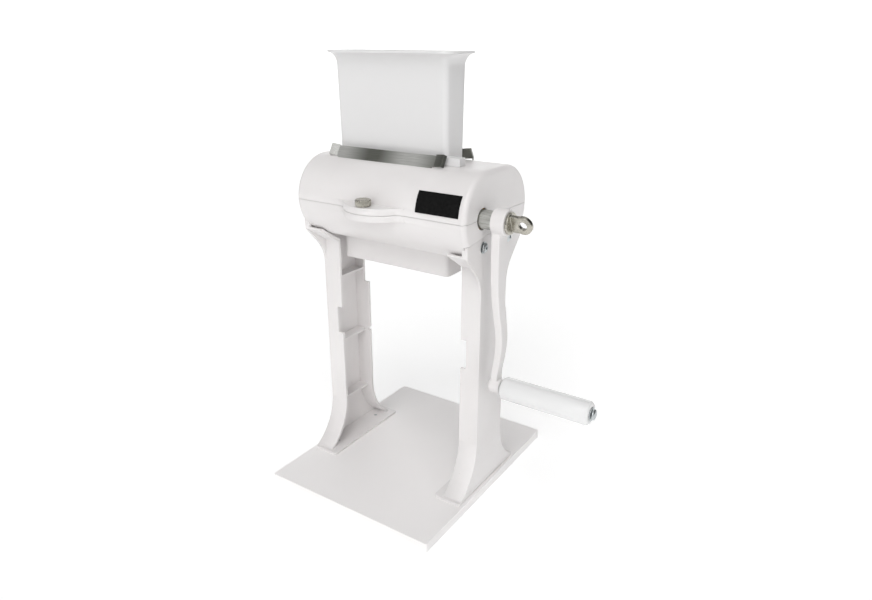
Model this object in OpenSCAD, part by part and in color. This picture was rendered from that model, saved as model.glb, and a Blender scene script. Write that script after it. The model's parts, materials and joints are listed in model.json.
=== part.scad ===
// Hand-cranked meat cuber: two geared blade rollers in a clamshell casing, on two cast legs and a board.
// Millimetres. +Z is up, +X is the crank end, -Y is the front with the closing screw.
// The origin is the centre of the board's underside.

/* [Board] */
// board width, left to right
board_w = 254; // [200:1:320]
// board depth, front to back
board_d = 305; // [240:1:360]
// board thickness
board_t = 12.7; // [8:0.1:20]
// radius of the board's upright corners
board_corner = 2.5; // [1:0.5:12]

/* [Legs] */
// outer face of each leg wall, from the centre
leg_x = 123; // [110:0.5:135]
// width of each leg flange, across the machine
flange_w = 27; // [18:0.5:36]
// thickness of the leg walls and flanges
leg_t = 3.8; // [3:0.1:6]
// half depth of a leg at its waist
waist_y = 31.5; // [24:0.5:40]
// height where the foot curve starts
foot_curve_z = 82; // [60:1:100]
// radius of the foot curve
foot_curve_r = 78; // [50:1:95]
// height where the curve under the ear starts
ear_curve_z = 287; // [270:1:300]
// radius of the curve under the ear
ear_curve_r = 45; // [30:1:60]
// angle of the ear, from upright
ear_angle = 42; // [30:1:50]
// height of the top of the ear
ear_top_z = 354.5; // [350:0.5:358]
// height where the flange turns out to the ear
ear_crease_z = 319.5; // [305:0.5:325]
// height of the flange's ledge at the ear's tip
ear_ledge_z = 341; // [335:0.5:345]
// width of the upright block at the ear's tip
ear_block_w = 7.5; // [5:0.5:12]
// half depth of the foot plate
foot_y = 72; // [60:1:80]
// width of the foot plate
foot_w = 38; // [30:1:50]
// thickness of the foot plate
foot_t = 3.5; // [2.5:0.1:6]
// height of the leg wall's arched top
arch_z = 360; // [355:0.5:370]

/* [Casing] */
// height of the split line and of the roller axes
axis_z = 382; // [370:0.5:395]
// casing length over its ends
casing_l = 249; // [230:1:260]
// radius of the casing's shoulders
shoulder_r = 52.5; // [48:0.5:56]
// half width of the casing's flat top
flat_y = 22; // [15:0.5:28]
// height of the casing's flat underside
belly_z = 333; // [330:0.5:340]
// edge radius of the casing ends
edge_r = 6; // [2:0.5:10]
// thickness of the casing's curved wall
wall_t = 4; // [3:0.1:6]
// thickness of the casing's end walls
end_wall = 10; // [8:0.5:14]
// middle of the roller zone, left of the casing's middle
zone_x = -15; // [-25:1:0]
// length of the discharge chute
chute_l = 165; // [140:1:175]
// depth of the discharge chute, front to back
chute_d = 36; // [28:1:44]
// height of the chute's lower edge
chute_z = 296.5; // [285:0.5:320]

/* [Rollers] */
// distance of each roller axis from the middle
axis_y = 34.5; // [30:0.5:36]
// outer radius of a blade disc
blade_r = 33.4; // [28:0.1:34]
// blade disc thickness
blade_t = 1.2; // [0.8:0.1:2]
// spacing of the blades along a roller
blade_pitch = 9; // [8:0.5:10]
// number of blades on the front roller
front_blades_n = 16; // [10:2:18]
// teeth around one blade
blade_teeth = 20; // [12:1:36]
// radius of the spacers between the blades
spacer_r = 21; // [12:0.5:22]
// radius of the roller shafts
shaft_r = 8; // [6:0.5:10]
// radius of the drive shaft's thick end
drive_r = 11; // [9:0.5:12]
// gear teeth on each roller
gear_teeth = 46; // [40:2:60]
// gear width
gear_w = 16; // [10:1:20]

/* [Hopper] */
// hopper length at its base
hopper_l = 161.5; // [145:0.5:170]
// hopper depth at its base
hopper_d = 38.6; // [34:0.1:42]
// hopper length below the flare
hopper_top_l = 162.5; // [145:0.5:175]
// hopper depth below the flare
hopper_top_d = 43.8; // [36:0.1:50]
// height where the flare starts
flare_z = 541.5; // [520:0.5:560]
// outward reach of the flare
flare_out = 11; // [4:0.5:14]
// height of the flare
flare_h = 14.5; // [8:0.5:18]
// hopper wall thickness
hopper_t = 2.4; // [1.8:0.1:3.5]
// upright corner radius of the hopper
hopper_corner = 6.5; // [4:0.5:12]
// reach of each foot beyond the hopper's end
foot_reach = 20.5; // [14:0.5:30]
// depth of each foot, front to back
foot_depth = 12; // [10:0.5:16]
// distance of each foot's outer side from the middle
foot_out_y = 24; // [20:0.5:26]
// height of each foot
foot_h = 9.3; // [6:0.1:12]

/* [Combs] */
// lean of the combs, from upright
comb_lean = 30; // [20:1:35]
// comb sheet thickness
comb_t = 1.5; // [1.2:0.1:2]
// height of the bar above the casing
comb_bar_h = 13.3; // [8:0.1:18]
// half length of the bar between its tabs
comb_half = 73; // [71.5:0.5:76]
// length of each end tab
comb_tab = 12; // [8:0.5:16]
// length of the return at the tip of each tab
comb_curl = 4.6; // [2:0.1:6]
// width of one finger
finger_w = 5; // [3:0.1:5.6]
// length of the fingers below the bar
finger_l = 52; // [30:1:54]

/* [Crank] */
// distance from the shaft axis to the grip axis
crank_r = 203; // [150:1:220]
// radius of the crank hub
hub_r = 15.3; // [12:0.1:17]
// inner face of the hub
hub_x0 = 141; // [130:0.5:145]
// outer face of the hub
hub_x1 = 157.8; // [150:0.1:165]
// radius of the boss at the end of the arm
boss_r = 9.2; // [8:0.1:13]
// grip radius
grip_r = 14.1; // [12:0.1:18]
// grip length
grip_l = 111.5; // [90:0.5:130]

/* [Closing screw] */
// middle of the closing lip, along the casing
lip_x = -5; // [-40:1:20]
// how far the lip stands out from the casing
lip_out = 24; // [15:0.5:30]
// half length of the lip where it meets the casing
lip_half = 40; // [25:1:50]
// radius of the blend between the lip and the casing
lip_blend_r = 16; // [6:1:24]
// thickness of each half of the lip
lip_t = 8; // [5:0.5:10]
// radius of the knurled head
knob_r = 9.5; // [7:0.5:12]
// height of the knurled head
knob_h = 8; // [5:0.5:12]

/* [Hidden] */
$fn = 64;
eps = 0.01;
split_gap = 0.22;
part_gap = 0.3;
fit_gap = 0.05;
casing_half = casing_l / 2;
inner_r = shoulder_r - wall_t;
gear_room_r = shoulder_r - wall_t + 1.6;
cavity_x = casing_half - end_wall;
recess_x = leg_x - leg_t - 0.3;
top_z = axis_z + shoulder_r;
front_y = -flat_y - shoulder_r;
rear_blades_n = front_blades_n - 1;
stack_x0 = -91.3;
stack_x1 = 59.3;
partition_t = 6;
partition_l = -99;
partition_r = 61;
bush_r = 13;
bush_flange_r = 15.4;
bush_flange_t = 1.4;
drive_bush_r = 15;
drive_hole_r = 12.8;
drive_hole_l = 3.4;
drive_bush_in = 3;
gear_x = 76;
gear_module = 2 * axis_y / gear_teeth;
gear_base_r = axis_y * cos(20);
gear_tip_r = axis_y + gear_module;
gear_root_r = axis_y - 1.25 * gear_module;
gear_backlash = 0.35;
key_w = 5;
clip_x = -103.5;
bolt_y = 29;
bolt_z = 347;
bolt_r = 3;
screw_y = 44;
screw_x = 104;
screw_r = 2.5;
hinge_y = 84;
hinge_r = 7.5;
hinge_pin_r = 4;
hinge_lug_r = 7.3;
hinge_half = 20.5;
hinge_outer = 45;
lip_circle_r = (lip_half * lip_half + lip_out * lip_out) / (2 * lip_out);
lip_circle_y = front_y - lip_out + lip_circle_r;
lip_blend_y = front_y - lip_blend_r;
lip_blend_x = sqrt(pow(lip_circle_r + lip_blend_r, 2) - pow(lip_blend_y - lip_circle_y, 2));
lip_meet = lip_circle_r / (lip_circle_r + lip_blend_r);
lip_screw_y = front_y - 13;
lip_stud_r = 4;
throat_l = 142;
throat_d = 34;
slot_half = 71;
slot_w = 2.1;
slot_front = 0.15;
comb_seat_y = 34.3;
comb_curl_angle = 78;
comb_root = 3;
comb_splay = 12;
comb_seat_z = axis_z + sqrt(shoulder_r * shoulder_r - pow(comb_seat_y - flat_y, 2)) + 0.35;
peg_r = 2.5;
peg_x = 90;
peg_y = 17;
stud_r = 4;
stud_bore_r = 4.1;
flat_half = 6.5;
seat_r = 8.5;
seat_x1 = 156;
spindle_r = 5;
boss_x0 = 139;
grip_x0 = 159.2;
grip_chamfer = 2.5;
plate_x0 = 59;
plate_x1 = 116;
plate_t = 0.7;
plate_low = 7.5;
plate_high = 35;
ear_line_y = waist_y + ear_curve_r * (1 - cos(ear_angle));
ear_line_z = ear_curve_z + ear_curve_r * sin(ear_angle);
ear_tip_y = 64.2;
ear_slope = (ear_ledge_z - ear_crease_z) / (ear_tip_y - waist_y);
arch_flat_y = 22;
arch_gap = 1.3;

// ---- shared shapes ----

// flat rectangle with true round corners, centred
module round_rect(width, depth, radius) {
    square([width - 2 * radius, depth], center = true);
    square([width, depth - 2 * radius], center = true);
    for (sx = [-1, 1])
        for (sy = [-1, 1])
            translate([sx * (width / 2 - radius), sy * (depth / 2 - radius)])
                circle(r = radius);
}

// cylinder along X, from x0 to x1, at a given y and z
module x_rod(x0, x1, radius, y, z) {
    translate([x0, y, z])
        rotate([0, 90, 0])
            cylinder(h = x1 - x0, r = radius);
}

// ring along X, from x0 to x1, at a given y and z
module x_ring(x0, x1, outer, inner, y, z) {
    difference() {
        x_rod(x0, x1, outer, y, z);
        x_rod(x0 - 1, x1 + 1, inner, y, z);
    }
}

// turns a YZ drawing into a plate from x0 to x1
module yz_plate(x0, x1) {
    translate([x0, 0, 0])
        rotate([90, 0, 90])
            linear_extrude(height = x1 - x0)
                children();
}

// domed screw head pointing along X, with its flat side at x0
module x_dome(x0, radius, height, y, z) {
    translate([x0, y, z])
        rotate([0, 90, 0])
            rotate_extrude()
                polygon(concat(
                    [[0, 0]],
                    [for (t = [0 : 10 : 90]) [radius * cos(t), height * (0.35 + 0.65 * sin(t))]]
                ));
}

// ---- board ----

module base_board() {
    color([0.93, 0.92, 0.9])
        difference() {
            linear_extrude(height = board_t)
                round_rect(board_w, board_d, board_corner);
            each_foot_screw() {
                translate([0, 0, -1])
                    cylinder(h = board_t + 2, r = screw_r + 0.2);
                translate([0, 0, -1])
                    cylinder(h = 4.5, r = 5.6);
            }
        }
}

module each_foot_screw() {
    for (sx = [-1, 1])
        for (sy = [-1, 1])
            translate([sx * screw_x, sy * screw_y, 0])
                children();
}

module foot_screws() {
    color([0.62, 0.63, 0.65])
        each_foot_screw() {
            difference() {
                translate([0, 0, 0.4])
                    cylinder(h = 3, r = 5.2);
                cylinder(h = 2, r = 2.2, $fn = 6);
            }
            translate([0, 0, 3.3])
                cylinder(h = board_t + foot_t - 3.6, r = screw_r);
        }
}

// ---- legs ----

// low part of a leg's side outline, drawn in Y and Z, set in by a wall thickness
module foot_half(inset) {
    low_z = board_t + foot_t - 1;
    translate([0, low_z])
        square([waist_y - inset, ear_top_z - low_z]);
    difference() {
        translate([0, low_z])
            square([foot_curve_r - inset * 1.6, foot_curve_z - low_z]);
        translate([waist_y + foot_curve_r, foot_curve_z])
            circle(r = foot_curve_r + inset, $fn = 128);
    }
}

// half of the leg wall's outline, with its sweep out to the ear
module wall_half() {
    foot_half(0);
    difference() {
        translate([0, ear_curve_z])
            square([ear_line_y, ear_line_z - ear_curve_z]);
        translate([waist_y + ear_curve_r, ear_curve_z])
            circle(r = ear_curve_r, $fn = 128);
    }
    polygon([
        [0, ear_line_z - eps],
        [ear_line_y, ear_line_z - eps],
        [ear_tip_y, ear_line_z + (ear_tip_y - ear_line_y) / tan(ear_angle)],
        [ear_tip_y, ear_top_z],
        [0, ear_top_z]
    ]);
}

// height of the underside of the flange's ledge, set in by a wall thickness
function ledge_z(y, inset) =
    ear_crease_z + ear_slope * (y - waist_y) + inset * sqrt(1 + ear_slope * ear_slope);

// half of the flange's outline: upright to the crease, then straight out to the ear's tip
module flange_half(inset) {
    foot_half(inset);
    polygon([
        [0, ledge_z(waist_y - inset, inset)],
        [waist_y - inset, ledge_z(waist_y - inset, inset)],
        [ear_tip_y - inset, ledge_z(ear_tip_y - inset, inset)],
        [ear_tip_y - inset, ear_top_z + inset],
        [0, ear_top_z + inset]
    ]);
}

// a half outline and its mirror image
module both_halves() {
    children();
    mirror([1, 0])
        children();
}

// top edge of the leg wall, raised by a gap
function arch_line(gap) = [
    [-ear_tip_y - gap, ear_top_z + gap],
    [-arch_flat_y, arch_z + gap],
    [arch_flat_y, arch_z + gap],
    [ear_tip_y + gap, ear_top_z + gap]
];

// arched top of the leg wall, drawn in Y and Z
module leg_arch() {
    polygon(concat(
        [[-ear_tip_y, ear_top_z - 6]],
        arch_line(0),
        [[ear_tip_y, ear_top_z - 6]]
    ));
}

// the leg at the crank end
module leg_body() {
    difference() {
        union() {
            yz_plate(leg_x - leg_t, leg_x) {
                both_halves()
                    wall_half();
                leg_arch();
            }
            difference() {
                yz_plate(leg_x - flange_w, leg_x - leg_t + eps)
                    difference() {
                        both_halves()
                            flange_half(0);
                        both_halves()
                            flange_half(leg_t);
                    }
                translate([0, 0, part_gap - 0.1])
                    casing_block(part_gap - 0.1, 0);
                for (sy = [-1, 1])
                    translate([leg_x - flange_w - 1, sy * ear_tip_y - 20, ear_ledge_z + 2])
                        cube([flange_w + 1 - ear_block_w, 40, 30]);
            }
            leg_ribs();
            translate([leg_x - 0.5 - foot_w / 2, 0, board_t])
                linear_extrude(height = foot_t)
                    round_rect(foot_w, 2 * foot_y, 2.5);
        }
        flange_notches();
        for (sy = [-1, 1]) {
            x_rod(leg_x - leg_t - 2, leg_x + 2, bolt_r + 0.2, sy * bolt_y, bolt_z);
            translate([screw_x, sy * screw_y, board_t - 1])
                cylinder(h = foot_t + 4, r = screw_r + fit_gap);
        }
    }
}

// level ribs between the flanges
module leg_ribs() {
    for (z = [265, 170, 78])
        translate([leg_x - leg_t - 15, -waist_y + leg_t / 2, z - 1.5])
            cube([15 + eps, 2 * waist_y - leg_t, 3]);
}

// machined steps in the free edges of the flanges
module flange_notches() {
    translate([leg_x - flange_w - 1, -waist_y - 3, 186.5])
        cube([9, leg_t + 5, 38.5]);
    translate([leg_x - flange_w - 1, waist_y - leg_t - 2, 245])
        cube([9.5, leg_t + 5, 62]);
    translate([leg_x - flange_w - 1, waist_y - leg_t - 2, 170])
        cube([3.5, leg_t + 5, 5]);
}

module leg_right() {
    color([0.95, 0.95, 0.94])
        leg_body();
}

module leg_left() {
    color([0.95, 0.95, 0.94])
        mirror([1, 0, 0])
            leg_body();
}

module each_leg_bolt() {
    for (side = [0, 1])
        mirror([side, 0, 0])
            for (sy = [-1, 1])
                translate([0, sy * bolt_y, bolt_z])
                    children();
}

module leg_bolts() {
    color([0.7, 0.71, 0.73])
        each_leg_bolt() {
            x_rod(leg_x - 18, leg_x + 1.1, bolt_r, 0, 0);
            difference() {
                x_dome(leg_x + 1, 6, 3.6, 0, 0);
                translate([leg_x + 2.6, 0, 0])
                    rotate([0, 90, 0])
                        cylinder(h = 4, r = 2.1, $fn = 6);
            }
        }
}

module leg_washers() {
    color([0.66, 0.67, 0.69])
        each_leg_bolt()
            x_ring(leg_x, leg_x + 1, 7, bolt_r + 0.1, 0, 0);
}

// ---- casing ----

// flat drawing of a barrel's half section with rounded ends
module barrel_section(radius, half, edge) {
    translate([0, -half])
        square([radius - edge, 2 * half]);
    translate([0, -half + edge])
        square([radius, 2 * (half - edge)]);
    for (end = [-1, 1])
        translate([radius - edge, end * (half - edge)])
            circle(r = edge);
}

// the full casing shape before it is split, with rounded ends
module casing_round() {
    for (sy = [-1, 1])
        translate([0, sy * flat_y, axis_z])
            rotate([0, 90, 0])
                rotate_extrude($fn = 128)
                    barrel_section(shoulder_r, casing_half, edge_r);
    translate([0, flat_y, axis_z])
        rotate([90, 0, 0])
            linear_extrude(height = 2 * flat_y)
                round_rect(casing_l, 2 * shoulder_r, edge_r);
}

// a plain casing-shaped block from end to end, grown by a margin
module casing_block(grow, shrink_l) {
    x0 = -casing_half + shrink_l;
    x1 = casing_half - shrink_l;
    for (sy = [-1, 1])
        x_rod(x0, x1, shoulder_r + grow, sy * flat_y, axis_z);
    translate([x0, -flat_y, axis_z - shoulder_r - grow])
        cube([x1 - x0, 2 * flat_y, 2 * (shoulder_r + grow)]);
}

// inner space of the casing between two stations
module casing_room(x0, x1, radius) {
    for (sy = [-1, 1])
        x_rod(x0, x1, radius, sy * flat_y, axis_z);
    translate([x0, -flat_y, axis_z - radius])
        cube([x1 - x0, 2 * flat_y, 2 * radius]);
}

module casing_rooms() {
    casing_room(-cavity_x, partition_l, inner_r);
    casing_room(partition_l + partition_t, partition_r, inner_r);
    casing_room(partition_r + partition_t, cavity_x, gear_room_r);
}

// bearing seats through the partitions and the crank end wall
module bearing_seats(extra) {
    for (sy = [-1, 1]) {
        x_rod(partition_l - 1, partition_l + partition_t + 1, bush_r + extra, sy * axis_y, axis_z);
        x_rod(partition_r - 1, partition_r + partition_t + 1, bush_r + extra, sy * axis_y, axis_z);
    }
    x_rod(cavity_x - 1, casing_half - drive_hole_l, drive_bush_r + extra, -axis_y, axis_z);
    x_rod(cavity_x - 1, casing_half + 1, drive_hole_r, -axis_y, axis_z);
}

// flat drawing of the closing lip: a disc that flows into the casing's front on both sides
module lip_plan() {
    meet_x = lip_meet * lip_blend_x;
    meet_y = lip_circle_y + lip_meet * (lip_blend_y - lip_circle_y);
    translate([0, lip_circle_y])
        circle(r = lip_circle_r, $fn = 128);
    for (side = [-1, 1])
        difference() {
            polygon([
                [side * meet_x, meet_y],
                [side * meet_x, front_y + wall_t / 2],
                [side * lip_blend_x, front_y + wall_t / 2],
                [side * lip_blend_x, front_y]
            ]);
            translate([side * lip_blend_x, lip_blend_y])
                circle(r = lip_blend_r, $fn = 96);
        }
}

// one half of the closing lip
module lip_half_disc(z0) {
    translate([lip_x, 0, z0])
        linear_extrude(height = lip_t - split_gap)
            lip_plan();
}

module lower_casing() {
    color([0.95, 0.95, 0.94])
        difference() {
            union() {
                difference() {
                    union() {
                        intersection() {
                            casing_round();
                            translate([-200, -100, belly_z])
                                cube([400, 200, axis_z - split_gap - belly_z]);
                        }
                        intersection() {
                            lip_half_disc(axis_z - lip_t);
                            translate([-100, -120, axis_z - 20])
                                cube([200, 120, 40]);
                        }
                    }
                    difference() {
                        casing_rooms();
                        translate([-200, -100, belly_z - 10])
                            cube([400, 200, 10 + wall_t]);
                    }
                }
                lower_bosses();
                translate([zone_x, 0, chute_z])
                    linear_extrude(height = belly_z + wall_t - chute_z)
                        round_rect(chute_l, chute_d, 6);
                lower_hinge();
            }
            translate([zone_x, 0, chute_z - 1])
                linear_extrude(height = belly_z + wall_t - chute_z + 2)
                    round_rect(chute_l - 6, chute_d - 6, 3);
            leg_pockets();
            bearing_seats(fit_gap);
            translate([lip_x, lip_screw_y, axis_z - lip_t - 1])
                cylinder(h = lip_t + 2, r = lip_stud_r + 0.5);
            each_leg_bolt()
                x_rod(leg_x - 22, leg_x, bolt_r + fit_gap, 0, 0);
        }
}

// screw bosses inside the ends of the lower casing
module lower_bosses() {
    for (side = [0, 1])
        mirror([side, 0, 0])
            for (sy = [-1, 1])
                intersection() {
                    x_rod(cavity_x - 11, cavity_x + 1, 7.5, sy * bolt_y, bolt_z);
                    casing_block(-1, 0);
                    translate([0, -100, belly_z + 1])
                        cube([200, 200, 40]);
                }
}

// pockets that take the arched tops of the leg walls
module leg_pockets() {
    for (side = [0, 1])
        mirror([side, 0, 0])
            yz_plate(recess_x, casing_half + 5)
                polygon(concat(
                    [[-90, belly_z - 5], [-90, ear_top_z - 4]],
                    arch_line(arch_gap),
                    [[90, ear_top_z - 4], [90, belly_z - 5]]
                ));
}

module lower_hinge() {
    for (side = [-1, 1])
        difference() {
            union() {
                x_rod(hinge_lug_x(side), hinge_lug_x(side) + 24, hinge_r, hinge_y, axis_z);
                translate([hinge_lug_x(side), -front_y - 3, axis_z - hinge_lug_r])
                    cube([24, hinge_y + front_y + 3, hinge_lug_r - split_gap]);
            }
            x_rod(-100, 100, hinge_pin_r + fit_gap, hinge_y, axis_z);
        }
}

function hinge_lug_x(side) = side < 0 ? lip_x - hinge_outer : lip_x + hinge_half + 0.5;

module upper_casing() {
    color([0.95, 0.95, 0.94])
        difference() {
            union() {
                difference() {
                    union() {
                        intersection() {
                            casing_round();
                            translate([-200, -100, axis_z + split_gap])
                                cube([400, 200, 80]);
                        }
                        intersection() {
                            lip_half_disc(axis_z + split_gap);
                            translate([-100, -120, axis_z - 20])
                                cube([200, 120, 40]);
                        }
                    }
                    casing_rooms();
                }
                difference() {
                    union() {
                        x_rod(lip_x - hinge_half, lip_x + hinge_half, hinge_r, hinge_y, axis_z);
                        translate([lip_x - hinge_half, -front_y - 3, axis_z + split_gap])
                            cube([2 * hinge_half, hinge_y + front_y + 3, hinge_lug_r - split_gap]);
                    }
                    x_rod(-100, 100, hinge_pin_r + 0.1, hinge_y, axis_z);
                }
                for (side = [-1, 1])
                    translate([zone_x + side * peg_x, -side * peg_y, top_z - 1])
                        cylinder(h = 6, r = peg_r);
            }
            bearing_seats(part_gap);
            translate([zone_x, 0, axis_z + 20])
                linear_extrude(height = 60)
                    round_rect(throat_l, throat_d, 4);
            comb_slot();
            mirror([0, 1, 0])
                comb_slot();
            translate([lip_x, lip_screw_y, axis_z - 1])
                cylinder(h = lip_t + 3, r = lip_stud_r + 0.1);
        }
}

// leaning slot for a comb, at the front
module comb_slot() {
    comb_frame()
        translate([zone_x - slot_half, -comb_t - slot_front, -20])
            cube([2 * slot_half, slot_w, 30]);
}

// leaning frame of the front comb: its z runs up the comb, its y points inwards
module comb_frame() {
    translate([0, -comb_seat_y, comb_seat_z])
        rotate([-comb_lean, 0, 0])
            children();
}

module hinge_pin() {
    color([0.7, 0.71, 0.73]) {
        x_rod(lip_x - hinge_outer - 1.5, lip_x + hinge_outer + 1.5, hinge_pin_r, hinge_y, axis_z);
        x_rod(lip_x - hinge_outer - 3.5, lip_x - hinge_outer - 0.4, 5.6, hinge_y, axis_z);
    }
}

module closing_screw() {
    head_z = axis_z + lip_t + 0.3;
    color([0.74, 0.73, 0.7])
        translate([lip_x, lip_screw_y, 0]) {
            translate([0, 0, head_z])
                linear_extrude(height = knob_h)
                    knurl(knob_r, 30, 0.5);
            translate([0, 0, axis_z - lip_t + 1])
                cylinder(h = head_z - axis_z + lip_t - 1 + eps, r = lip_stud_r);
        }
}

// flat drawing of a knurled edge
module knurl(radius, teeth, depth) {
    polygon([
        for (i = [0 : 2 * teeth - 1])
            let (a = i * 180 / teeth, r = radius - (i % 2) * depth)
            [r * cos(a), r * sin(a)]
    ]);
}

// ---- hopper ----

// thin level slice used to loft the hopper walls
module hopper_slice(length, depth, radius, z) {
    translate([zone_x, 0, z])
        linear_extrude(height = 0.02)
            for (sx = [-1, 1])
                for (sy = [-1, 1])
                    translate([sx * (length / 2 - radius), sy * (depth / 2 - radius)])
                        circle(r = radius, $fn = 32);
}

// flat drawing of the flare's section; x grows outwards from the wall
module flare_section() {
    polygon(concat(
        [for (t = [0 : 9 : 90]) [flare_out * (1 - cos(t)), flare_h * sin(t)]],
        [for (t = [90 : -9 : 0])
            let (s = flare_out * sin(t), c = flare_h * cos(t), n = norm([s, c]))
            [flare_out * (1 - cos(t)) - hopper_t * c / n, flare_h * sin(t) + hopper_t * s / n]]
    ));
}

module flare_ring() {
    sx = hopper_top_l / 2 - hopper_corner;
    sy = hopper_top_d / 2 - hopper_corner;
    translate([zone_x, 0, flare_z]) {
        for (turn = [0, 1])
            rotate([0, 0, 180 * turn]) {
                translate([sx, sy, 0])
                    flare_corner();
                mirror([1, 0, 0])
                    translate([sx, sy, 0])
                        flare_corner();
                translate([sx, hopper_top_d / 2, 0])
                    rotate([90, 0, -90])
                        linear_extrude(height = 2 * sx)
                            mirror([1, 0])
                                flare_section();
                translate([hopper_top_l / 2, -sy, 0])
                    rotate([90, 0, 180])
                        linear_extrude(height = 2 * sy)
                            mirror([1, 0])
                                flare_section();
            }
    }
}

module flare_corner() {
    rotate_extrude(angle = 90)
        translate([hopper_corner, 0])
            flare_section();
}

module hopper() {
    color([0.96, 0.96, 0.96])
        difference() {
            union() {
                difference() {
                    hull() {
                        hopper_slice(hopper_l, hopper_d, hopper_corner, top_z + 0.2);
                        hopper_slice(hopper_top_l, hopper_top_d, hopper_corner, flare_z);
                    }
                    hull() {
                        hopper_slice(hopper_l - 2 * hopper_t, hopper_d - 2 * hopper_t,
                            hopper_corner - hopper_t, top_z + 2.6);
                        hopper_slice(hopper_top_l - 2 * hopper_t, hopper_top_d - 2 * hopper_t,
                            hopper_corner - hopper_t, flare_z + 0.2);
                    }
                }
                flare_ring();
                translate([zone_x, 0, top_z - 8])
                    linear_extrude(height = 11)
                        round_rect(throat_l - 1, throat_d - 1, 3.5);
                hopper_foot();
                translate([2 * zone_x, 0, 0])
                    rotate([0, 0, 180])
                        hopper_foot();
            }
            translate([zone_x, 0, top_z - 10])
                linear_extrude(height = 15)
                    round_rect(throat_l - 5, throat_d - 5, 2);
        }
}

// foot at one end of the hopper, with a hole for the casing's peg
module hopper_foot() {
    translate([zone_x + hopper_l / 2 - 4, -foot_out_y, top_z + 0.2])
        difference() {
            cube([foot_reach + 4, foot_depth, foot_h]);
            translate([peg_x - hopper_l / 2 + 4, foot_out_y - peg_y, -1])
                cylinder(h = foot_h - 1, r = peg_r + 0.3);
        }
}

// ---- combs ----

// one comb in its leaning frame, with fingers between the blades
module comb_sheet(fingers) {
    translate([zone_x - comb_half, -comb_t, 0.1])
        cube([2 * comb_half, comb_t, comb_bar_h]);
    translate([zone_x - slot_half + part_gap, -comb_t, -comb_root])
        cube([2 * (slot_half - part_gap), comb_t, comb_root + 0.2]);
    for (i = [0 : fingers - 1])
        translate([zone_x + (i - (fingers - 1) / 2) * blade_pitch - finger_w / 2, -comb_t, -finger_l])
            cube([finger_w, comb_t, finger_l + 0.2]);
    for (side = [0, 1])
        translate([zone_x, 0, 0])
            mirror([side, 0, 0])
                translate([comb_half, 0, 0])
                    rotate([0, 0, -comb_splay])
                        comb_tab();
}

// end tab, bent a little outwards, with a short return at its tip
module comb_tab() {
    translate([-0.3, -comb_t, 0.6])
        cube([comb_tab, comb_t, comb_bar_h + 1]);
    translate([comb_tab - 0.5, -comb_t, 0.6])
        rotate([0, 0, comb_curl_angle])
            cube([comb_curl, comb_t, comb_bar_h + 1]);
}

module front_comb() {
    color([0.72, 0.73, 0.7])
        comb_frame()
            comb_sheet(front_blades_n - 1);
}

module rear_comb() {
    color([0.72, 0.73, 0.7])
        mirror([0, 1, 0])
            comb_frame()
                comb_sheet(front_blades_n);
}

// ---- rollers ----

module blade_disc() {
    difference() {
        linear_extrude(height = blade_t)
            knurl(blade_r, blade_teeth, 4);
        translate([0, 0, -1])
            cylinder(h = blade_t + 2, r = shaft_r + fit_gap);
    }
}

module blade_row(count, y) {
    for (i = [0 : count - 1])
        translate([zone_x + (i - (count - 1) / 2) * blade_pitch - blade_t / 2, y, axis_z])
            rotate([0, 90, 0])
                blade_disc();
}

module spacer_row(count, y) {
    first_x = zone_x - (count - 1) / 2 * blade_pitch - blade_t / 2;
    last_x = zone_x + (count - 1) / 2 * blade_pitch + blade_t / 2;
    for (i = [0 : count - 2])
        x_ring(first_x + i * blade_pitch + blade_t, first_x + (i + 1) * blade_pitch,
            spacer_r, shaft_r + fit_gap, y, axis_z);
    x_ring(stack_x0, first_x, spacer_r - 4, shaft_r + fit_gap, y, axis_z);
    x_ring(last_x, stack_x1, spacer_r - 4, shaft_r + fit_gap, y, axis_z);
}

module front_blades() {
    color([0.75, 0.76, 0.78])
        blade_row(front_blades_n, -axis_y);
}

module rear_blades() {
    color([0.75, 0.76, 0.78])
        blade_row(rear_blades_n, axis_y);
}

module front_spacers() {
    color([0.7, 0.71, 0.72])
        spacer_row(front_blades_n, -axis_y);
}

module rear_spacers() {
    color([0.7, 0.71, 0.72])
        spacer_row(rear_blades_n, axis_y);
}

// groove for a spring clip
module clip_groove(x, y) {
    x_ring(x - 0.05, x + 1.25, shaft_r + 2, shaft_r - 1, y, axis_z);
}

// upright keyway or key on top of a shaft
module gear_key_block(y, grow) {
    translate([gear_x - grow, y - key_w / 2 - grow, axis_z + shaft_r - 2.5 - grow])
        cube([gear_w + 2 * grow, key_w + 2 * grow, 5 + grow]);
}

module drive_shaft() {
    color([0.78, 0.79, 0.8])
        difference() {
            union() {
                x_rod(clip_x - 2.5, cavity_x - 4, shaft_r, -axis_y, axis_z);
                x_rod(cavity_x - 5, hub_x0 - 0.1, drive_r, -axis_y, axis_z);
                intersection() {
                    x_rod(hub_x0 - 0.2, seat_x1, seat_r, -axis_y, axis_z);
                    translate([hub_x0 - 1, -axis_y - flat_half, axis_z - 20])
                        cube([40, 2 * flat_half, 40]);
                }
            }
            clip_groove(clip_x, -axis_y);
            gear_key_block(-axis_y, 0.02);
            x_rod(seat_x1 - 27, seat_x1 + 1, stud_bore_r, -axis_y, axis_z);
        }
}

module rear_shaft() {
    color([0.78, 0.79, 0.8])
        difference() {
            x_rod(clip_x - 2.5, gear_x + gear_w + 6, shaft_r, axis_y, axis_z);
            clip_groove(clip_x, axis_y);
            clip_groove(gear_x + gear_w + 1.5, axis_y);
            gear_key_block(axis_y, 0.02);
        }
}

// spring clip: an open ring in its groove
module spring_clip(x, y) {
    difference() {
        x_ring(x, x + 1.2, shaft_r + 3, shaft_r - 0.9, y, axis_z);
        translate([x - 1, y - 3, axis_z - shaft_r - 5])
            cube([4, 6, 8]);
    }
}

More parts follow.
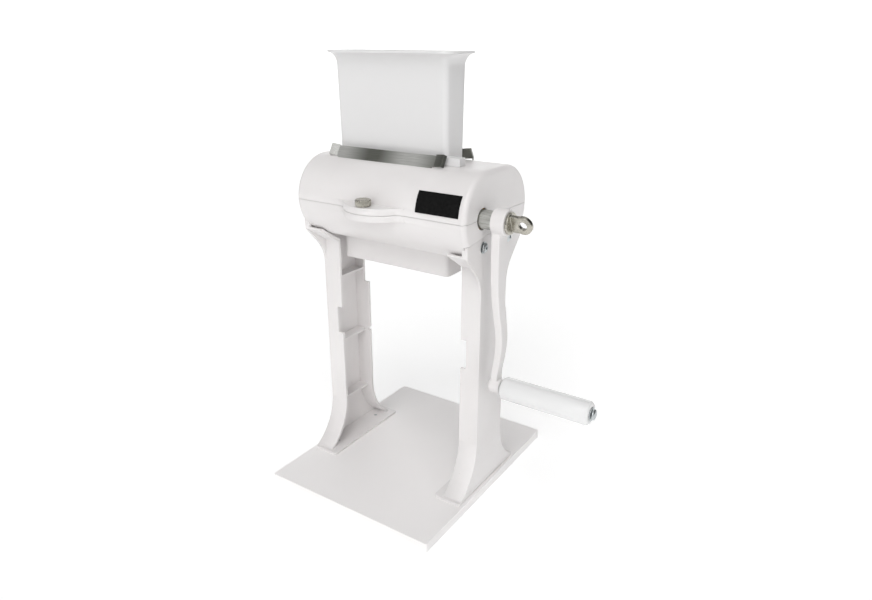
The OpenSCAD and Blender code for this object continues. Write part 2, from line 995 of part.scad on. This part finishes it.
module drive_shaft_clip() {
    color([0.35, 0.36, 0.38])
        spring_clip(clip_x, -axis_y);
}

module rear_shaft_clips() {
    color([0.35, 0.36, 0.38]) {
        spring_clip(clip_x, axis_y);
        spring_clip(gear_x + gear_w + 1.5, axis_y);
    }
}

// ---- gears ----

function involute_angle(r) =
    let (a = acos(gear_base_r / r))
    tan(a) * 180 / PI - a;

function tooth_half(r) =
    90 / gear_teeth - gear_backlash / axis_y * 28.65 / 2 + involute_angle(axis_y) - involute_angle(r);

// flat drawing of one spur gear, with a tooth centred on angle zero plus a phase
module gear_section(phase) {
    radii = [gear_root_r, axis_y - gear_module * 0.5, axis_y, axis_y + gear_module * 0.5, gear_tip_r];
    polygon([
        for (i = [0 : gear_teeth - 1])
            for (j = [0 : 9])
                let (
                    up = j < 5,
                    r = radii[up ? j : 9 - j],
                    half = tooth_half(r),
                    a = phase + i * 360 / gear_teeth + (up ? -half : half)
                )
                [r * cos(a), r * sin(a)]
    ]);
}

module spur_gear(y, phase) {
    difference() {
        union() {
            translate([gear_x, y, axis_z])
                rotate([90, 0, 90])
                    linear_extrude(height = gear_w)
                        gear_section(phase);
            x_rod(partition_r + partition_t + 0.4, gear_x + eps, 13, y, axis_z);
        }
        x_rod(gear_x - 20, gear_x + gear_w + 1, shaft_r + fit_gap, y, axis_z);
        gear_key_block(y, 0.05);
    }
}

module drive_gear() {
    color([0.6, 0.61, 0.63])
        spur_gear(-axis_y, 0);
}

module rear_gear() {
    color([0.6, 0.61, 0.63])
        spur_gear(axis_y, 180 + 180 / gear_teeth);
}

module drive_gear_key() {
    color([0.5, 0.51, 0.53])
        gear_key_block(-axis_y, 0);
}

module rear_gear_key() {
    color([0.5, 0.51, 0.53])
        gear_key_block(axis_y, 0);
}

// ---- bushings ----

// flanged bush in a partition; the flange faces the rollers
module flanged_bush(x0, flange_x, y) {
    difference() {
        union() {
            x_rod(x0, x0 + partition_t, bush_r, y, axis_z);
            x_rod(flange_x, flange_x + bush_flange_t, bush_flange_r, y, axis_z);
        }
        x_rod(x0 - 5, x0 + partition_t + 5, shaft_r + fit_gap, y, axis_z);
    }
}

module left_bushings() {
    color([0.75, 0.6, 0.35])
        for (sy = [-1, 1])
            flanged_bush(partition_l, partition_l + partition_t, sy * axis_y);
}

module right_bushings() {
    color([0.75, 0.6, 0.35])
        for (sy = [-1, 1])
            flanged_bush(partition_r, partition_r - bush_flange_t, sy * axis_y);
}

module drive_bushing() {
    color([0.75, 0.6, 0.35])
        x_ring(cavity_x - drive_bush_in, casing_half - drive_hole_l - 0.1, drive_bush_r, drive_r + fit_gap,
            -axis_y, axis_z);
}

// ---- crank ----

function arm_x(z) = 146.4 + 7.6 * exp(-pow((z - 238) / 42, 2));
function arm_thick(z) = 8.6 + 2 * (z - axis_z + crank_r) / crank_r;

module crank_arm() {
    end_z = axis_z - crank_r;
    color([0.97, 0.97, 0.96])
        difference() {
            union() {
                x_rod(hub_x0 + 0.2, hub_x1, hub_r, -axis_y, axis_z);
                arm_bar(end_z);
                arm_boss(end_z);
            }
            intersection() {
                x_rod(hub_x0 - 1, hub_x1 + 1, seat_r + 0.1, -axis_y, axis_z);
                translate([hub_x0 - 2, -axis_y - flat_half - 0.1, axis_z - 20])
                    cube([40, 2 * flat_half + 0.2, 40]);
            }
            x_rod(141, hub_x1 + 1, stud_r + fit_gap, -axis_y, end_z);
        }
}

// boss at the end of the arm, rounded on its inner side
module arm_boss(end_z) {
    translate([boss_x0, -axis_y, end_z])
        rotate([0, 90, 0])
            rotate_extrude()
                polygon(concat(
                    [[0, hub_x1 - 0.8 - boss_x0], [0, 0]],
                    [for (t = [80 : -10 : 0]) [boss_r * cos(t), 6 * (1 - sin(t))]],
                    [[boss_r, hub_x1 - 0.8 - boss_x0]]
                ));
}

// swept bar of the crank, wide at the hub and narrow at the grip
module arm_bar(end_z) {
    steps = 24;
    intersection() {
        translate([0, -axis_y + 15, 0])
            rotate([90, 0, 0])
                linear_extrude(height = 30)
                    polygon(concat(
                        [for (i = [0 : steps])
                            let (z = end_z + i * crank_r / steps)
                            [arm_x(z) - arm_thick(z) / 2, z]],
                        [for (i = [steps : -1 : 0])
                            let (z = end_z + i * crank_r / steps)
                            [arm_x(z) + arm_thick(z) / 2, z]]
                    ));
        yz_plate(120, 180)
            polygon([
                [-axis_y - 5.8, end_z - 1],
                [-axis_y + 5.8, end_z - 1],
                [-axis_y + 10.6, axis_z],
                [-axis_y - 10.6, axis_z]
            ]);
    }
}

module crank_screw() {
    eye_x = 175.2;
    eye_turn = 21;
    color([0.74, 0.73, 0.7])
        translate([0, -axis_y, axis_z])
            rotate([eye_turn, 0, 0])
                difference() {
                    union() {
                        x_rod(seat_x1 - 25, hub_x1 + 0.3, stud_r, 0, 0);
                        x_rod(hub_x1 + 0.2, hub_x1 + 3.4, 12.6, 0, 0);
                        translate([eye_x, 2.4, 0])
                            rotate([90, 0, 0])
                                cylinder(h = 4.8, r = 11);
                        translate([hub_x1 + 1, -2.4, -10.2])
                            cube([eye_x - hub_x1 - 4, 4.8, 20.4]);
                    }
                    translate([eye_x, 8, 0])
                        rotate([90, 0, 0])
                            cylinder(h = 16, r = 5);
                }
}

module grip() {
    bore_r = spindle_r + 0.08;
    color([0.97, 0.97, 0.96])
        translate([grip_x0, -axis_y, axis_z - crank_r])
            rotate([0, 90, 0])
                rotate_extrude()
                    polygon([
                        [bore_r, 0],
                        [grip_r - grip_chamfer, 0],
                        [grip_r, grip_chamfer],
                        [grip_r, grip_l - grip_chamfer],
                        [grip_r - grip_chamfer, grip_l],
                        [bore_r, grip_l]
                    ]);
}

module grip_spindle() {
    z = axis_z - crank_r;
    head_x = grip_x0 + grip_l + 1.5;
    color([0.45, 0.46, 0.48]) {
        x_rod(143, hub_x1, stud_r, -axis_y, z);
        x_rod(hub_x1 - 0.6, head_x + eps, spindle_r, -axis_y, z);
        x_dome(head_x, 6.6, 4.5, -axis_y, z);
    }
}

module grip_washers() {
    z = axis_z - crank_r;
    color([0.66, 0.67, 0.69]) {
        x_ring(hub_x1 - 0.5, grip_x0 - 0.2, 8.2, spindle_r + fit_gap, -axis_y, z);
        x_ring(grip_x0 + grip_l + 0.3, grip_x0 + grip_l + 1.4, 8.2, spindle_r + fit_gap, -axis_y, z);
    }
}

// ---- plain plate on the casing's front ----

module name_plate() {
    color([0.05, 0.05, 0.05])
        translate([plate_x0, -flat_y, axis_z])
            rotate([0, 90, 0])
                rotate([0, 0, 180 + 90 - plate_high])
                    rotate_extrude(angle = plate_high - plate_low, $fn = 128)
                        translate([shoulder_r + 0.05, 0])
                            square([plate_t, plate_x1 - plate_x0]);
}

base_board();
foot_screws();
leg_left();
leg_right();
leg_bolts();
leg_washers();
lower_casing();
upper_casing();
hinge_pin();
closing_screw();
hopper();
front_comb();
rear_comb();
drive_shaft();
rear_shaft();
front_blades();
rear_blades();
front_spacers();
rear_spacers();
drive_gear();
rear_gear();
drive_gear_key();
rear_gear_key();
left_bushings();
right_bushings();
drive_bushing();
drive_shaft_clip();
rear_shaft_clips();
crank_arm();
crank_screw();
grip();
grip_spindle();
grip_washers();
name_plate();
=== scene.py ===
"""Looks of the hand-cranked meat cuber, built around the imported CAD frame. Metres, +Z up, +X the crank end."""

import json
import math

import bmesh
import bpy
from mathutils import Matrix, Vector


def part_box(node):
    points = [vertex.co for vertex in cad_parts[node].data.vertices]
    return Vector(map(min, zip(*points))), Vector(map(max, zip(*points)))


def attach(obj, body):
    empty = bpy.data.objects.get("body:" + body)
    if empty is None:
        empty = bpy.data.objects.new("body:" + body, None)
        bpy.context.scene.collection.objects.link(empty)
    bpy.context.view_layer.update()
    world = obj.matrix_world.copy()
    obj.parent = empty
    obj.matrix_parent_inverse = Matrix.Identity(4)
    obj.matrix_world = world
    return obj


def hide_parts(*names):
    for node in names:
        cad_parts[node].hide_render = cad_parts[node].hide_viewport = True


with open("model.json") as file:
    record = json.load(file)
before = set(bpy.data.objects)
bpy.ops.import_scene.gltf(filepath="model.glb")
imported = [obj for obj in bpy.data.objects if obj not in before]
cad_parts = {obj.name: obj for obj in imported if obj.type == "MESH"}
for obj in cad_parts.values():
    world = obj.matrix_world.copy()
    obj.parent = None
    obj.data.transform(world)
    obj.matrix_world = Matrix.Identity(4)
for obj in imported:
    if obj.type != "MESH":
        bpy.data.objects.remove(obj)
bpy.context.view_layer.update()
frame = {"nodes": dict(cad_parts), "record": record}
NODES = frame["nodes"]
MM = 0.001


# ---------------------------------------------------------------- materials

class Shader:
    """A Principled material with a few helpers for procedural nodes in object coordinates."""

    def __init__(self, name, color, roughness, metallic=0.0):
        self.material = bpy.data.materials.new(name)
        self.material.use_nodes = True
        self.tree = self.material.node_tree
        self.main = self.tree.nodes["Principled BSDF"]
        self.main.inputs["Base Color"].default_value = (*color, 1)
        self.main.inputs["Roughness"].default_value = roughness
        self.main.inputs["Metallic"].default_value = metallic
        self.place = self.tree.nodes.new("ShaderNodeTexCoord").outputs["Object"]

    def node(self, kind, **settings):
        made = self.tree.nodes.new(kind)
        for key, value in settings.items():
            setattr(made, key, value)
        return made

    def link(self, source, target):
        self.tree.links.new(source, target)

    def noise(self, scale, detail=2.0, stretch=(1, 1, 1), rough=0.5):
        """Noise with a feature about 1/scale metres across, drawn out along an axis by stretch."""
        mapping = self.node("ShaderNodeMapping")
        mapping.inputs["Scale"].default_value = stretch
        self.link(self.place, mapping.inputs["Vector"])
        made = self.node("ShaderNodeTexNoise")
        made.inputs["Scale"].default_value = scale
        made.inputs["Detail"].default_value = detail
        made.inputs["Roughness"].default_value = rough
        self.link(mapping.outputs["Vector"], made.inputs["Vector"])
        return made.outputs["Fac"]

    def band(self, period, crest):
        """Soft light and dark bands across X, one crest at the given place; used to paint reflection bands into
        a colour.
        """
        made = self.node("ShaderNodeTexWave", wave_type="BANDS", bands_direction="X", wave_profile="SIN")
        made.inputs["Scale"].default_value = 2 * math.pi / (20 * period)
        made.inputs["Phase Offset"].default_value = math.pi - 2 * math.pi * crest / period
        self.link(self.place, made.inputs["Vector"])
        return made.outputs["Fac"]

    def ramp(self, source, low, high, at=(0.35, 0.65)):
        """A colour or grey that goes from low to high as source crosses the two places."""
        made = self.node("ShaderNodeValToRGB")
        first, last = made.color_ramp.elements
        first.position, last.position = at
        first.color = (*low, 1) if hasattr(low, "__len__") else (low, low, low, 1)
        last.color = (*high, 1) if hasattr(high, "__len__") else (high, high, high, 1)
        self.link(source, made.inputs["Fac"])
        return made.outputs["Color"]

    def mix(self, factor, first, second):
        made = self.node("ShaderNodeMix", data_type="RGBA")
        self.link(factor, made.inputs["Factor"])
        for slot, value in (("A", first), ("B", second)):
            socket = next(s for s in made.inputs if s.name == slot and s.type == "RGBA")
            if hasattr(value, "__len__"):
                socket.default_value = (*value, 1)
            else:
                self.link(value, socket)
        return next(s for s in made.outputs if s.type == "RGBA")

    def bump(self, height, strength, depth, under=None):
        made = self.node("ShaderNodeBump")
        made.inputs["Strength"].default_value = strength
        made.inputs["Distance"].default_value = depth
        self.link(height, made.inputs["Height"])
        if under is not None:
            self.link(under, made.inputs["Normal"])
        return made.outputs["Normal"]

    def finish(self, color=None, roughness=None, normal=None):
        for socket, source in (("Base Color", color), ("Roughness", roughness), ("Normal", normal)):
            if source is not None:
                self.link(source, self.main.inputs[socket])
        return self.material


def powder_coat():
    s = Shader("powder_coat_white", (0.84, 0.82, 0.815), 0.34)
    s.main.inputs["Specular IOR Level"].default_value = 0.45
    s.main.inputs["Coat Weight"].default_value = 0.15
    s.main.inputs["Coat Roughness"].default_value = 0.22
    tone = s.ramp(s.noise(9, 4), (0.79, 0.765, 0.76), (0.83, 0.81, 0.805))
    specks = s.ramp(s.noise(420, 2), 0.0, 1.0, (0.72, 0.80))
    color = s.mix(specks, tone, (0.70, 0.68, 0.66))
    gloss = s.ramp(s.noise(40, 5), 0.30, 0.44, (0.3, 0.7))
    waves = s.bump(s.noise(70, 2), 0.22, 0.0010)
    peel = s.bump(s.noise(750, 2), 0.16, 0.00022, waves)
    return s.finish(color, gloss, peel)


def moulded_white(name, color, roughness, wave):
    s = Shader(name, color, roughness)
    s.main.inputs["Specular IOR Level"].default_value = 0.5
    tone = s.ramp(s.noise(5, 1), tuple(c * 0.985 for c in color), color, (0.2, 0.8))
    gloss = s.ramp(s.noise(30, 2), roughness - 0.03, roughness + 0.05, (0.1, 0.9))
    sink = s.bump(s.noise(9, 1), wave, 0.0006)
    return s.finish(tone, gloss, sink)


def board_plastic():
    s = Shader("board_plastic", (0.89, 0.87, 0.865), 0.42)
    s.main.inputs["Specular IOR Level"].default_value = 0.4
    tone = s.ramp(s.noise(5, 4), (0.915, 0.895, 0.89), (0.94, 0.92, 0.915))
    scuffs = s.ramp(s.noise(30, 6, (1, 14, 1), 0.7), 0.34, 0.50, (0.35, 0.7))
    fine = s.bump(s.noise(1100, 2), 0.10, 0.00015)
    return s.finish(tone, scuffs, fine)


def brushed(name, dark, light, low, high, stretch=(1, 1, 1), strength=0.25, fine=900):
    """Metal with drawn-out scratches; stretch is small along the brushing."""
    s = Shader(name, light, low, metallic=1.0)
    lines = s.noise(fine, 3, stretch)
    color = s.mix(s.ramp(s.noise(24, 3), 0.0, 1.0), s.ramp(lines, dark, light, (0.25, 0.75)), light)
    gloss = s.ramp(lines, low, high, (0.25, 0.75))
    scratches = s.bump(lines, strength, 0.00012)
    return s.finish(color, gloss, scratches)


def comb_steel_painted_bands():
    """Sheet brushed along its length, with broad light and dark bands of painted reflection in its colour."""
    s = Shader("brushed_sheet_painted_bands", (0.5, 0.5, 0.48), 0.34, metallic=1.0)
    lines = s.noise(1500, 3, (0.02, 1, 1))
    # painted reflection: broad light and dark bands across X, put into the base colour
    painted_reflection_bands = s.ramp(s.band(0.107, 0.022), (0.20, 0.205, 0.18), (0.86, 0.86, 0.83), (0.05, 0.95))
    color = s.mix(s.ramp(lines, 0.0, 0.35), painted_reflection_bands, (0.34, 0.34, 0.32))
    gloss = s.ramp(lines, 0.30, 0.46, (0.25, 0.75))
    return s.finish(color, gloss, s.bump(lines, 0.25, 0.0001))


def cast_nickel():
    s = Shader("nickel_plate", (0.50, 0.48, 0.43), 0.28, metallic=1.0)
    tone = s.ramp(s.noise(90, 4), (0.38, 0.365, 0.32), (0.56, 0.54, 0.48))
    gloss = s.ramp(s.noise(200, 4), 0.22, 0.34, (0.3, 0.7))
    dents = s.bump(s.noise(180, 2), 0.16, 0.0004)
    grit = s.bump(s.noise(1500, 2), 0.12, 0.00010, dents)
    return s.finish(tone, gloss, grit)


def sintered_bronze():
    s = Shader("sintered_bronze", (0.50, 0.34, 0.17), 0.45, metallic=1.0)
    tone = s.ramp(s.noise(260, 4), (0.36, 0.23, 0.11), (0.58, 0.41, 0.21))
    pores = s.bump(s.noise(2200, 2), 0.3, 0.0001)
    return s.finish(tone, s.ramp(s.noise(90, 3), 0.38, 0.55), pores)


def label_black():
    s = Shader("label_black", (0.012, 0.012, 0.013), 0.55)
    s.main.inputs["Specular IOR Level"].default_value = 0.06
    tone = s.ramp(s.noise(300, 4), (0.006, 0.006, 0.006), (0.010, 0.010, 0.010))
    return s.finish(tone, s.ramp(s.noise(120, 3), 0.50, 0.62), s.bump(s.noise(900, 2), 0.1, 0.0001))


COAT = powder_coat()
COMB_STEEL_PAINTED_BANDS = comb_steel_painted_bands()
MATERIALS = {
    "cast_white": COAT,
    "board_white": board_plastic(),
    "hopper_white": moulded_white("hopper_plastic", (0.79, 0.785, 0.785), 0.30, 0.06),
    "grip_white": moulded_white("grip_plastic", (0.84, 0.84, 0.84), 0.24, 0.05),
    "stainless": brushed("brushed_stainless", (0.42, 0.43, 0.40), (0.62, 0.63, 0.60), 0.22, 0.38, (0.03, 1, 1)),
    "nickel": cast_nickel(),
    "zinc": brushed("zinc_plate", (0.36, 0.39, 0.40), (0.62, 0.65, 0.66), 0.22, 0.40, (1, 1, 1), 0.15, 500),
    "gear_steel": brushed("gear_steel", (0.20, 0.20, 0.21), (0.38, 0.38, 0.39), 0.28, 0.45,
                          strength=0.2, fine=400),
    "spring_steel": brushed("spring_steel", (0.05, 0.05, 0.055), (0.12, 0.12, 0.13), 0.3, 0.45,
                            strength=0.15, fine=500),
    "bronze": sintered_bronze(),
    "plate_black": label_black(),
}


# ---------------------------------------------------------------- CAD nodes that stay

def dress(obj, slot):
    obj.data.materials.clear()
    obj.data.materials.append(MATERIALS[slot])


SHARP_EDGE = math.radians(32)
WELD_GAP = 0.01 * MM


def soften(obj, width):
    """Rounds the hard edges of a CAD node with modifiers, so that its edges catch the light."""
    weld = obj.modifiers.new("weld", "WELD")
    weld.merge_threshold = WELD_GAP
    bevel = obj.modifiers.new("edges", "BEVEL")
    bevel.width = width
    bevel.segments = 2
    bevel.limit_method = "ANGLE"
    bevel.angle_limit = SHARP_EDGE
    bevel.harden_normals = True
    bevel.miter_outer = "MITER_ARC"


def cast_over(obj, grain, passes):
    """Gives a CAD node the flowing edges and fillets of a casting, with modifiers."""
    cast = obj.modifiers.new("cast", "REMESH")
    cast.mode = "VOXEL"
    cast.voxel_size = grain
    cast.use_smooth_shade = True
    flow = obj.modifiers.new("flow", "SMOOTH")
    flow.factor = 0.5
    flow.iterations = passes


for part in frame["record"]["subparts"]:
    dress(NODES[part["node"]], part["material_slot"])
for name in ("front_comb", "rear_comb"):
    NODES[name].data.materials[0] = COMB_STEEL_PAINTED_BANDS

EDGES = {"base_board": 0.9 * MM, "leg_left": 0.9 * MM, "leg_right": 0.9 * MM, "lower_casing": 0.4 * MM,
         "upper_casing": 0.4 * MM, "hopper": 0.5 * MM, "front_comb": 0.25 * MM, "rear_comb": 0.25 * MM,
         "leg_bolts": 0.2 * MM, "grip": 0.8 * MM}
for name, width in EDGES.items():
    soften(NODES[name], width)
cast_over(NODES["crank_arm"], 0.7 * MM, 10)
cast_over(NODES["crank_screw"], 0.4 * MM, 10)


# ---------------------------------------------------------------- pieces made here

def box_middle(node):
    low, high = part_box(node)
    return [(a + b) / 2 for a, b in zip(low, high)]


def turned(name, profile, place, flutes, depth):
    """A part turned about an upright axis; the profile lists radius, height and share of fluting."""
    mesh = bmesh.new()
    count = flutes * 6
    rings = []
    for radius, height, share in profile:
        ring = []
        for i in range(count):
            angle = 2 * math.pi * i / count
            groove = (0.5 + 0.5 * math.cos(flutes * angle)) ** 2
            r = radius - depth * share * groove
            x, y = place[0] + r * math.cos(angle), place[1] + r * math.sin(angle)
            ring.append(mesh.verts.new((x, y, height)))
        rings.append(ring)
    for lower, upper in zip(rings, rings[1:]):
        for i in range(count):
            j = (i + 1) % count
            mesh.faces.new((lower[i], lower[j], upper[j], upper[i]))
    mesh.faces.new(list(reversed(rings[0])))
    mesh.faces.new(rings[-1])
    data = bpy.data.meshes.new(name)
    mesh.to_mesh(data)
    mesh.free()
    data.shade_smooth()
    obj = bpy.data.objects.new(name, data)
    bpy.context.collection.objects.link(obj)
    return obj


def knurled_closing_screw():
    low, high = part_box("closing_screw")
    middle = box_middle("closing_screw")
    head = high[2] - 8.0 * MM
    wide = (high[0] - low[0]) / 2 - 0.05 * MM
    profile = [(3.6 * MM, low[2] + 0.02 * MM, 0), (4.0 * MM, low[2] + 0.5 * MM, 0), (4.0 * MM, head, 0),
               (wide - 1.1 * MM, head + 0.05 * MM, 0), (wide - 0.4 * MM, head + 0.4 * MM, 0.4),
               (wide, head + 1.2 * MM, 1), (wide, high[2] - 1.4 * MM, 1),
               (wide - 0.35 * MM, high[2] - 0.6 * MM, 0.4),
               (wide - 1.2 * MM, high[2] - 0.1 * MM, 0), (wide - 2.6 * MM, high[2] - 0.02 * MM, 0),
               (wide - 3.2 * MM, high[2] - 0.35 * MM, 0), (0.6 * MM, high[2] - 0.5 * MM, 0)]
    screw = turned("knurled_closing_screw", profile, middle, 26, 0.85 * MM)
    screw.data.materials.append(MATERIALS["nickel"])
    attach(screw, "lid_screw")
    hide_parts("closing_screw")


knurled_closing_screw()


# ---------------------------------------------------------------- stage, light and camera

VIEW_AZIMUTH = 33.476
VIEW_ELEVATION = 20.994
VIEW_ROLL = 0.201
FLOOR_TURN = 33.5


def floor():
    """A plain pale floor that runs up into a wall far behind the object."""
    mesh = bmesh.new()
    half, rise, radius, steps = 9.0, 7.0, 2.0, 12
    line = [(-half, 0.0), (half - radius, 0.0)]
    line += [(half - radius + radius * math.sin(a), radius - radius * math.cos(a))
             for a in (math.pi / 2 * i / steps for i in range(1, steps + 1))]
    line.append((half, rise))
    turn = Matrix.Rotation(math.radians(FLOOR_TURN), 4, "Z")
    rows = [[mesh.verts.new(turn @ Vector((x, y, z))) for x in (-half, half)] for y, z in line]
    for a, b in zip(rows, rows[1:]):
        mesh.faces.new((a[0], a[1], b[1], b[0])).smooth = True
    data = bpy.data.meshes.new("floor")
    mesh.to_mesh(data)
    mesh.free()
    obj = bpy.data.objects.new("floor", data)
    bpy.context.collection.objects.link(obj)
    s = Shader("studio_paper", (0.9, 0.9, 0.9), 0.9)
    s.main.inputs["Specular IOR Level"].default_value = 0.1
    s.main.inputs["Emission Color"].default_value = (1, 1, 1, 1)
    s.main.inputs["Emission Strength"].default_value = 0.32
    s.finish(s.ramp(s.noise(3, 2), 0.895, 0.905), None, s.bump(s.noise(600, 2), 0.05, 0.0002))
    obj.data.materials.append(s.material)


def backdrop():
    """A white wall all round behind the floor; it is seen, but it gives no light and no shadow."""
    mesh = bmesh.new()
    radius, bottom, top, sides = 14.0, -2.0, 12.0, 64
    angles = [2 * math.pi * i / sides for i in range(sides)]
    corners = [(radius * math.cos(a), radius * math.sin(a)) for a in angles]
    low = [mesh.verts.new((x, y, bottom)) for x, y in corners]
    high = [mesh.verts.new((x, y, top)) for x, y in corners]
    for i in range(sides):
        j = (i + 1) % sides
        mesh.faces.new((low[j], low[i], high[i], high[j]))
    data = bpy.data.meshes.new("backdrop")
    mesh.to_mesh(data)
    mesh.free()
    obj = bpy.data.objects.new("backdrop", data)
    bpy.context.collection.objects.link(obj)
    for ray in ("diffuse", "glossy", "transmission", "shadow"):
        setattr(obj, "visible_" + ray, False)
    s = Shader("backdrop_white", (0.5, 0.5, 0.5), 1.0)
    s.main.inputs["Emission Color"].default_value = (1, 1, 1, 1)
    s.main.inputs["Emission Strength"].default_value = 1.0
    s.finish(s.ramp(s.noise(0.3, 1), 0.45, 0.5))
    obj.data.materials.append(s.material)


def sun(name, toward, strength, angle):
    """A far, soft light that falls the same everywhere; toward points from the object to the light."""
    light = bpy.data.lights.new(name, "SUN")
    light.energy = strength
    light.angle = math.radians(angle)
    obj = bpy.data.objects.new(name, light)
    bpy.context.collection.objects.link(obj)
    obj.location = Vector(toward).normalized() * 3
    obj.rotation_euler = (-Vector(toward)).to_track_quat("-Z", "Y").to_euler()


def light_stage():
    world = bpy.data.worlds.new("studio")
    bpy.context.scene.world = world
    world.use_nodes = True
    world.node_tree.nodes["Background"].inputs["Color"].default_value = (1, 0.995, 0.99, 1)
    world.node_tree.nodes["Background"].inputs["Strength"].default_value = 0.05
    sun("high_front", (0.25, -0.7, 0.9), 1.22, 40)
    sun("front", (0.1, -1.0, 0.35), 0.50, 45)
    sun("crank_side", (0.90, -0.50, 0.32), 0.58, 22)
    sun("left_front", (-0.7, -0.75, 0.5), 0.18, 45)
    sun("top", (0.0, 0.0, 1.0), 0.60, 60)
    sun("rear", (-0.3, 0.8, 0.8), 0.08, 50)


def camera():
    """The photographed view: azimuth 33.5 degrees, 21 degrees above the horizon, 28 mm lens."""
    azimuth, elevation, roll = (math.radians(a) for a in (VIEW_AZIMUTH, VIEW_ELEVATION, VIEW_ROLL))
    back = Vector((math.sin(azimuth) * math.cos(elevation), -math.cos(azimuth) * math.cos(elevation),
                   math.sin(elevation)))
    right = Vector((math.cos(azimuth), math.sin(azimuth), 0))
    up = back.cross(right)
    across = math.cos(roll) * right + math.sin(roll) * up
    top = back.cross(across)
    data = bpy.data.cameras.new("camera")
    data.lens = 28.0
    data.sensor_width = 36.0
    data.clip_start, data.clip_end = 0.02, 60
    obj = bpy.data.objects.new("camera", data)
    bpy.context.collection.objects.link(obj)
    turn = Matrix((across, top, back)).transposed().to_4x4()
    obj.matrix_world = Matrix.Translation((0.4915, -0.6847, 0.5701)) @ turn
    bpy.context.scene.camera = obj


floor()
backdrop()
light_stage()
camera()
bpy.context.scene.view_settings.view_transform = "Standard"
